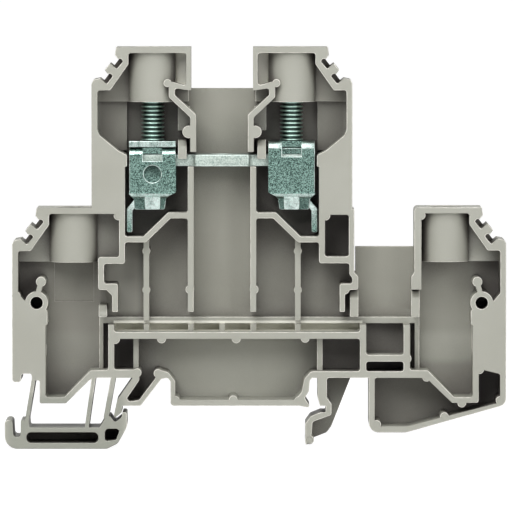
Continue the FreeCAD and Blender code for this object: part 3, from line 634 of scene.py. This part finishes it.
def patches_group():
    """Slow patches of tone, with a few soft streaks along X."""
    tree = bpy.data.node_groups.new("cloudy_patches", "ShaderNodeTree")
    tree_inputs(tree, [("Size", "NodeSocketFloat", 8 * millimetre),
                       ("Streak Size", "NodeSocketFloat", 1 * millimetre)])
    tree_outputs(tree, [("Patches", "NodeSocketFloat"), ("Streaks", "NodeSocketFloat")])
    given = tree.nodes.new("NodeGroupInput").outputs
    point = object_point(tree)
    cloud_scale = add_math(tree, "DIVIDE", 1, given["Size"])
    cloud = add_noise(tree, point, cloud_scale, 2, 0.5).outputs["Fac"]
    along = tree.nodes.new("ShaderNodeMapping")
    along.inputs["Scale"].default_value = (0.08, 1.0, 1.0)
    tree.links.new(point, along.inputs["Vector"])
    streak_scale = add_math(tree, "DIVIDE", 1, given["Streak Size"])
    streak = add_noise(tree, along.outputs[0], streak_scale, 2, 0.5)
    result = tree.nodes.new("NodeGroupOutput")
    tree.links.new(spread(tree, cloud, 0.3, 0.7), result.inputs["Patches"])
    tree.links.new(spread(tree, streak.outputs["Fac"], 0.35, 0.65), result.inputs["Streaks"])
    return tree


def rim_highlight_group():
    """Mask of painted rim highlights, broken up so that it is not one even line."""
    tree = bpy.data.node_groups.new("rim_highlights", "ShaderNodeTree")
    tree_inputs(tree, [("Break Up Size", "NodeSocketFloat", 1 * millimetre)])
    tree_outputs(tree, [("Rim", "NodeSocketFloat")])
    given = tree.nodes.new("NodeGroupInput").outputs
    rim = tree.nodes.new("ShaderNodeAttribute")
    rim.attribute_name = "rim"
    scale = add_math(tree, "DIVIDE", 1, given["Break Up Size"])
    broken = add_noise(tree, object_point(tree), scale, 2, 0.6)
    share = spread(tree, broken.outputs["Fac"], 0.3, 0.6, 0.45, 1.0)
    result = tree.nodes.new("NodeGroupOutput")
    tree.links.new(add_math(tree, "MULTIPLY", rim.outputs["Fac"], share), result.inputs["Rim"])
    return tree


def crystals_group():
    """Heights and dark spots of plated metal grains."""
    tree = bpy.data.node_groups.new("plating_crystals", "ShaderNodeTree")
    tree_inputs(tree, [("Size", "NodeSocketFloat", 0.12 * millimetre)])
    tree_outputs(tree, [("Height", "NodeSocketFloat"), ("Spots", "NodeSocketFloat")])
    given = tree.nodes.new("NodeGroupInput").outputs
    point = object_point(tree)
    scale = add_math(tree, "DIVIDE", 1, given["Size"])
    cells = add_noise(tree, point, scale, kind="ShaderNodeTexVoronoi")
    single = tree.nodes.new("ShaderNodeSeparateColor")
    tree.links.new(cells.outputs["Color"], single.inputs[0])
    grit = add_noise(tree, point, add_math(tree, "MULTIPLY", scale, 0.55), 3, 0.65).outputs["Fac"]
    height = add_math(tree, "ADD", add_math(tree, "MULTIPLY", single.outputs[0], 0.5), grit)
    result = tree.nodes.new("NodeGroupOutput")
    tree.links.new(height, result.inputs["Height"])
    tree.links.new(spread(tree, height, 0.5, 0.95), result.inputs["Spots"])
    return tree


fine_grain = grain_group()
cloudy_patches = patches_group()
rim_highlights = rim_highlight_group()
plating_crystals = crystals_group()
print("shader groups", [group.name for group in bpy.data.node_groups if group.type == "SHADER"])

# %% Helpers for finishes
def place_group(tree, group, **sizes_mm):
    """Places a shader group in a material; sizes are in millimetres."""
    node = tree.nodes.new("ShaderNodeGroup")
    node.node_tree = group
    for name, size in sizes_mm.items():
        node.inputs[name.replace("_", " ")].default_value = size * millimetre
    return node.outputs


def mix_colours(tree, share, first, second):
    """Mixes two colours; each is a tuple or a socket."""
    node = tree.nodes.new("ShaderNodeMix")
    node.data_type = "RGBA"
    tree.links.new(share, node.inputs[0])
    for socket, colour in ((node.inputs[6], first), (node.inputs[7], second)):
        if isinstance(colour, tuple):
            socket.default_value = (*colour, 1.0)
        else:
            tree.links.new(colour, socket)
    return node.outputs[2]


def fresh_material(material):
    """Empties a material's nodes and returns its tree and shader."""
    material.use_nodes = True
    tree = material.node_tree
    tree.nodes.clear()
    shader = tree.nodes.new("ShaderNodeBsdfPrincipled")
    result = tree.nodes.new("ShaderNodeOutputMaterial")
    tree.links.new(shader.outputs[0], result.inputs["Surface"])
    return tree, shader


def add_bump(tree, shader, height, strength, distance_mm):
    """Feeds a height into the shader's normal."""
    bump = tree.nodes.new("ShaderNodeBump")
    bump.inputs["Strength"].default_value = strength
    bump.inputs["Distance"].default_value = distance_mm * millimetre
    tree.links.new(height, bump.inputs["Height"])
    tree.links.new(bump.outputs[0], shader.inputs["Normal"])


# %% [markdown]
# The housing's polyamide is a warm grey that the moulder tints in the mass. It is matt, with a
# painted highlight on its rims, and it has a fine skin from the mould, with slow patches of tone.
# The real plastic is one colour. The tints by place below are painted shade and painted light that
# stand in for the shade in the picture, whose lamps and exact depths are not known: narrow
# recesses, deep chamber floors, sheltered chambers and the foot get painted shade, and a few
# shallow fields get painted light. Each field is a box in millimetres.

# %% Polyamide
polyamide = bpy.data.materials.new("housing_polyamide")


# low X, high X, low Z, high Z and the soft border of each tinted field, in millimetres; the first
# six fields get painted shade and the last four painted light
all_chambers = (-60, 60, 11, 80, 2)
upper_left_chamber = (-21.3, -9, 36, 60, 1)
upper_right_chamber = (9, 21.3, 36, 60, 1)
lower_left_chamber = (-36, -18.2, -2, 24, 4)
lower_right_chamber = (24, 46, -8, 8, 2)
sprung_foot = (-37, -16, -9, 2.5, 1.5)
left_window = (-8.2, -6.0, 54.0, 60.0, 0.2)
right_window = (6.0, 8.2, 54.0, 60.0, 0.2)
row_of_slots = (-18.6, 24.0, 12.3, 14.3, 0.2)
middle_left_field = (-21.0, -12.9, 14.0, 28.4, 2.0)


def recess_shade(tree, reach_mm):
    """Mask of narrow recesses: 0 in the open and nearly 1 deep inside."""
    recess = tree.nodes.new("ShaderNodeAmbientOcclusion")
    recess.samples = 8
    recess.inputs["Distance"].default_value = reach_mm * millimetre
    return spread(tree, recess.outputs["AO"], 0.03, 0.57, 0.9, 0.0)


def field_mask(tree, field):
    """Mask of an upright field between two X and two Z, with soft borders."""
    low_x, high_x, low_z, high_z, soft = field
    point = tree.nodes.new("ShaderNodeSeparateXYZ")
    tree.links.new(object_point(tree), point.inputs[0])
    mask = 1.0
    for axis, low, high in (("X", low_x, high_x), ("Z", low_z, high_z)):
        for border, inner in ((low, low + soft), (high, high - soft)):
            edge = spread(tree, point.outputs[axis], border * millimetre, inner * millimetre)
            mask = add_math(tree, "MULTIPLY", edge, mask)
    return mask


def either_field(tree, first, second):
    """Sum of the masks of two fields that don't touch."""
    return add_math(tree, "ADD", field_mask(tree, first), field_mask(tree, second))


def depth_mask(tree, start, full):
    """Mask of what lies deeper than some millimetres of Y, down to the floor of the chambers."""
    point = tree.nodes.new("ShaderNodeSeparateXYZ")
    tree.links.new(object_point(tree), point.inputs[0])
    deeper = spread(tree, point.outputs["Y"], start * millimetre, full * millimetre)
    before_back = spread(tree, point.outputs["Y"], 4.1 * millimetre, 4.4 * millimetre, 1.0, 0.0)
    return add_math(tree, "MULTIPLY", deeper, before_back)


def finish_polyamide(material):
    """Warm grey moulded plastic, with a painted highlight on its rims and painted shade and light
    by place.
    """
    tree, shader = fresh_material(material)
    grain = place_group(tree, fine_grain, Size=0.16)["Grain"]
    cloud = place_group(tree, cloudy_patches, Size=9.0, Streak_Size=1.4)
    rim = place_group(tree, rim_highlights, Break_Up_Size=1.3)["Rim"]
    tone = mix_colours(tree, cloud["Patches"], (0.425, 0.424, 0.368), (0.455, 0.456, 0.4))
    tone = mix_colours(tree, add_math(tree, "MULTIPLY", grain, 0.35), tone, (0.4, 0.398, 0.34))
    # painted highlight on the bevelled rims
    tone = mix_colours(tree, add_math(tree, "MULTIPLY", rim, 0.9), tone, (0.88, 0.86, 0.78))
    # painted shade on the deep floors of all chambers
    deep = add_math(tree, "MULTIPLY", depth_mask(tree, 2.5, 3.9), field_mask(tree, all_chambers))
    tone = mix_colours(tree, add_math(tree, "MULTIPLY", deep, 0.5), tone, (0.32, 0.31, 0.265))
    # painted shade on what lies deep in the two upper chambers
    sheltered = either_field(tree, upper_left_chamber, upper_right_chamber)
    sheltered = add_math(tree, "MULTIPLY", depth_mask(tree, 0.0, 0.3), sheltered)
    shelter_share = add_math(tree, "MULTIPLY", sheltered, 0.55)
    tone = mix_colours(tree, shelter_share, tone, (0.16, 0.15, 0.125))
    # painted shade on the deep floors of the two lower chambers
    low = either_field(tree, lower_left_chamber, lower_right_chamber)
    low = add_math(tree, "MULTIPLY", depth_mask(tree, 2.5, 3.9), low)
    tone = mix_colours(tree, add_math(tree, "MULTIPLY", low, 0.5), tone, (0.2, 0.19, 0.165))
    # painted shade on the sprung foot, which is set back
    foot = field_mask(tree, sprung_foot)
    tone = mix_colours(tree, add_math(tree, "MULTIPLY", foot, 0.8), tone, (0.33, 0.34, 0.29))
    # painted light on the floors of the two windows and the row of slots
    painted_light = either_field(tree, left_window, right_window)
    painted_light = add_math(tree, "ADD", field_mask(tree, row_of_slots), painted_light)
    painted_light = add_math(tree, "MULTIPLY", depth_mask(tree, -1.5, -0.5), painted_light)
    tone = mix_colours(tree, add_math(tree, "MULTIPLY", painted_light, 0.9), tone, (0.9, 0.89, 0.8))
    # painted light on the deep floor of the middle left field
    side = field_mask(tree, middle_left_field)
    side = add_math(tree, "MULTIPLY", depth_mask(tree, 2.5, 3.9), side)
    tone = mix_colours(tree, add_math(tree, "MULTIPLY", side, 0.3), tone, (0.75, 0.74, 0.66))
    # the fields of painted light are kept free of the painted shade in recesses
    painted_light = add_math(tree, "ADD", side, painted_light, clamp=True)
    shaded = add_math(tree, "SUBTRACT", 1, painted_light)
    shaded = add_math(tree, "MULTIPLY", recess_shade(tree, 9.0), shaded)
    tone = mix_colours(tree, shaded, tone, (0.06, 0.046, 0.044))
    tree.links.new(tone, shader.inputs["Base Color"])
    rough = add_math(tree, "ADD", add_math(tree, "MULTIPLY", cloud["Streaks"], 0.06), 0.5)
    rough = add_math(tree, "SUBTRACT", rough, add_math(tree, "MULTIPLY", rim, 0.12))
    tree.links.new(rough, shader.inputs["Roughness"])
    shader.inputs["IOR"].default_value = 1.5
    add_bump(tree, shader, grain, 0.3, 0.02)


finish_polyamide(polyamide)
housing.data.materials.append(polyamide)

# %% [markdown]
# The yokes and screws are zinc plated with a cool, slightly green passivation. On the flat
# walls the plating shows as fine glittering grains. The screw is smoother, because its thread
# is rolled before plating. The bar is a copper alloy with a dull tin coat that creased a
# little when it was stamped.

# %% Plated metals
def finish_metal(material, pale, dark, crystal_mm, sparkle, rough, streaks):
    """Plated metal: two tones, grain height, roughness and how much it is streaked along X, with
    painted highlights on rims and painted shade where groove is set.
    """
    tree, shader = fresh_material(material)
    crystals = place_group(tree, plating_crystals, Size=crystal_mm)
    cloud = place_group(tree, cloudy_patches, Size=3.0, Streak_Size=0.5)
    rim = place_group(tree, rim_highlights, Break_Up_Size=0.8)["Rim"]
    tone = mix_colours(tree, crystals["Spots"], dark, pale)
    tone = mix_colours(tree, add_math(tree, "MULTIPLY", cloud["Streaks"], streaks), tone, pale)
    # painted highlight on the rims, folds, tab and apron
    tone = mix_colours(tree, add_math(tree, "MULTIPLY", rim, 0.7), tone, (0.86, 0.95, 0.92))
    # painted shade in the thread's root, on the dimple's floor and on the nose
    groove = tree.nodes.new("ShaderNodeAttribute")
    groove.attribute_name = "groove"
    painted_shade = spread(tree, groove.outputs["Fac"], 0.15, 0.75, 0.0, 0.93)
    tone = mix_colours(tree, painted_shade, tone, (0.02, 0.035, 0.03))
    tree.links.new(tone, shader.inputs["Base Color"])
    shader.inputs["Metallic"].default_value = 1.0
    varied = add_math(tree, "ADD", add_math(tree, "MULTIPLY", cloud["Patches"], 0.1), rough)
    varied = add_math(tree, "ADD", add_math(tree, "MULTIPLY", rim, 0.25), varied)
    tree.links.new(varied, shader.inputs["Roughness"])
    add_bump(tree, shader, crystals["Height"], sparkle, 0.03)


yoke_zinc = bpy.data.materials.new("yoke_zinc")
bar_tin = bpy.data.materials.new("bar_tin")
finish_metal(yoke_zinc, (0.34, 0.52, 0.46), (0.03, 0.07, 0.06), 0.12, 0.13, 0.18, 0.0)
finish_metal(plated_steel, (0.7, 0.9, 0.82), (0.5, 0.7, 0.63), 0.12, 0.03, 0.34, 0.3)
finish_metal(bar_tin, (0.52, 0.59, 0.54), (0.26, 0.33, 0.3), 0.16, 0.3, 0.42, 0.4)
for piece, metal in ((left_yoke, yoke_zinc), (right_yoke, yoke_zinc), (bar, bar_tin),
                     (left_screw, plated_steel), (right_screw, plated_steel)):
    piece.data.materials.clear()
    piece.data.materials.append(metal)
print("finishes", [material.name for material in bpy.data.materials if material.use_nodes])

# %% [markdown]
# Each dressed piece stands for one engineering piece, which is hidden. It rides on the same body,
# so it turns or climbs with it. Its row also names a material slot, which nothing reads.

# %% Ride on the bodies
dressed = [
    (housing, "block", "housing", "housing_plastic"),
    (bar, "block", "current_bar", "tinned_bar"),
    (left_yoke, "left_yoke", "left_yoke", "yoke_steel"),
    (right_yoke, "right_yoke", "right_yoke", "yoke_steel"),
    (left_screw, "left_screw", "left_screw", "screw_steel"),
    (right_screw, "right_screw", "right_screw", "screw_steel"),
]
for piece, body, node, slot in dressed:
    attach(piece, body)
    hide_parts(node)
    print(piece.name, "rides on", body)

# %% [markdown]
# A product photograph of this kind is taken straight on in a white tent, from far away with a
# long lens, so that the walls stay parallel. The floor is one large white sheet. For the
# camera it is nearly pure white, and a soft shadow still shows where the block stands.

# %% Floor and surroundings
def white_floor():
    """Large pale sheet under the block."""
    mesh = bpy.data.meshes.new("studio_floor")
    height = cad_low[2] - 0.05 * millimetre
    reach = 14.0
    sides = ((-1, -1), (1, -1), (1, 1), (-1, 1))
    mesh.from_pydata([(x * reach, y * reach, height) for x, y in sides], [], [(0, 1, 2, 3)])
    floor = bpy.data.objects.new("studio_floor", mesh)
    bpy.context.scene.collection.objects.link(floor)
    material = bpy.data.materials.new("studio_white")
    tree, shader = fresh_material(material)
    shader.inputs["Base Color"].default_value = (0.9, 0.9, 0.9, 1)
    shader.inputs["Roughness"].default_value = 0.9
    glow = tree.nodes.new("ShaderNodeEmission")
    glow.inputs["Strength"].default_value = 1.3
    path = tree.nodes.new("ShaderNodeLightPath")
    seen = add_math(tree, "MAXIMUM", path.outputs["Is Camera Ray"], path.outputs["Is Glossy Ray"])
    seen = add_math(tree, "MAXIMUM", seen, path.outputs["Is Transmission Ray"])
    blend = tree.nodes.new("ShaderNodeMixShader")
    tree.links.new(add_math(tree, "MULTIPLY", seen, 0.74), blend.inputs[0])
    tree.links.new(shader.outputs[0], blend.inputs[1])
    tree.links.new(glow.outputs[0], blend.inputs[2])
    result = [node for node in tree.nodes if node.type == "OUTPUT_MATERIAL"][0]
    tree.links.new(blend.outputs[0], result.inputs["Surface"])
    mesh.materials.append(material)
    floor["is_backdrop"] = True
    return height


def pale_world(strength, shooting_side):
    """Even light from all around and white for the camera; a reflection sees the tent's opening."""
    world = bpy.data.worlds.new("studio_tent")
    bpy.context.scene.world = world
    world.use_nodes = True
    tree = world.node_tree
    background = [node for node in tree.nodes if node.type == "BACKGROUND"][0]
    background.inputs["Color"].default_value = (1, 1, 1, 1)
    path = tree.nodes.new("ShaderNodeLightPath")
    towards = tree.nodes.new("ShaderNodeSeparateXYZ")
    tree.links.new(tree.nodes.new("ShaderNodeTexCoord").outputs["Generated"], towards.inputs[0])
    opening = spread(tree, towards.outputs["Y"], -0.98, -0.88, shooting_side, 1.0)
    shiny = path.outputs["Is Glossy Ray"]
    shiny = add_math(tree, "MAXIMUM", shiny, path.outputs["Is Transmission Ray"])
    shiny = add_math(tree, "MULTIPLY", shiny, opening)
    seen = add_math(tree, "MAXIMUM", path.outputs["Is Camera Ray"], shiny)
    tree.links.new(add_math(tree, "MAXIMUM", seen, strength), background.inputs["Strength"])


floor_height = white_floor()
pale_world(0.14, 0.04)
print("floor height in mm", round(floor_height / millimetre, 2))

# %% Soft boxes
def soft_box(name, place, aim, width, tall, share):
    """Area lamp; share is how bright it makes a white surface that faces it."""
    lamp = bpy.data.lights.new(name, "AREA")
    lamp.shape = "RECTANGLE"
    lamp.size = width
    lamp.size_y = tall
    distance = (Vector(aim) - Vector(place)).length
    lamp.energy = share * math.pi ** 2 * distance ** 2
    holder = bpy.data.objects.new(name, lamp)
    bpy.context.scene.collection.objects.link(holder)
    holder.location = place
    holder.rotation_euler = (Vector(aim) - Vector(place)).to_track_quat("-Z", "Y").to_euler()
    print(name, "energy", round(lamp.energy, 3))


middle = Vector(((cad_low[0] + cad_high[0]) / 2, 0, (cad_low[2] + cad_high[2]) / 2))
soft_box("key_high", (-0.15, -0.6, 0.5), middle, 0.35, 0.6, 0.58)
soft_box("fill_right", (0.4, -0.65, 0.2), middle, 0.35, 0.35, 0.2)
soft_box("top", (0.0, -0.1, 0.7), middle, 0.4, 0.4, 0.22)

# %% [markdown]
# The camera stands 1.2 m away, barely above the block, and a very long lens fills the frame.
# Its place follows from the scale of the picture: how many millimetres the frame is wide at
# the open side.

# %% Camera
def product_camera(aim, distance, elevation_degrees, frame_width):
    """Camera on the open side, aimed at a point of its front plane."""
    lens_data = bpy.data.cameras.new("product_camera")
    lens_data.sensor_width = 36.0
    lens_data.lens = lens_data.sensor_width * distance / frame_width
    lens_data.clip_start = 0.05
    lens_data.clip_end = 50.0
    camera = bpy.data.objects.new("product_camera", lens_data)
    bpy.context.scene.collection.objects.link(camera)
    rise = math.radians(elevation_degrees)
    offset = Vector((0, -math.cos(rise), math.sin(rise))) * distance
    camera.location = Vector(aim) + offset
    camera.rotation_euler = (-offset).to_track_quat("-Z", "Y").to_euler()
    bpy.context.scene.camera = camera
    height = round(camera.location.z / millimetre, 1)
    print("lens in mm", round(lens_data.lens, 1), "camera height in mm", height)


picture_centre = (6.02 * millimetre, -4.95 * millimetre, 25.2 * millimetre)
product_camera(picture_centre, 1.2, 2.8, 87.3 * millimetre)
bpy.context.scene.view_settings.view_transform = "Standard"

# %% Sizes and the end
visual_low, visual_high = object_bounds()
dressed = [(high - low) / millimetre for low, high in zip(visual_low, visual_high)]
print("dressed size in mm", [round(length, 2) for length in dressed])
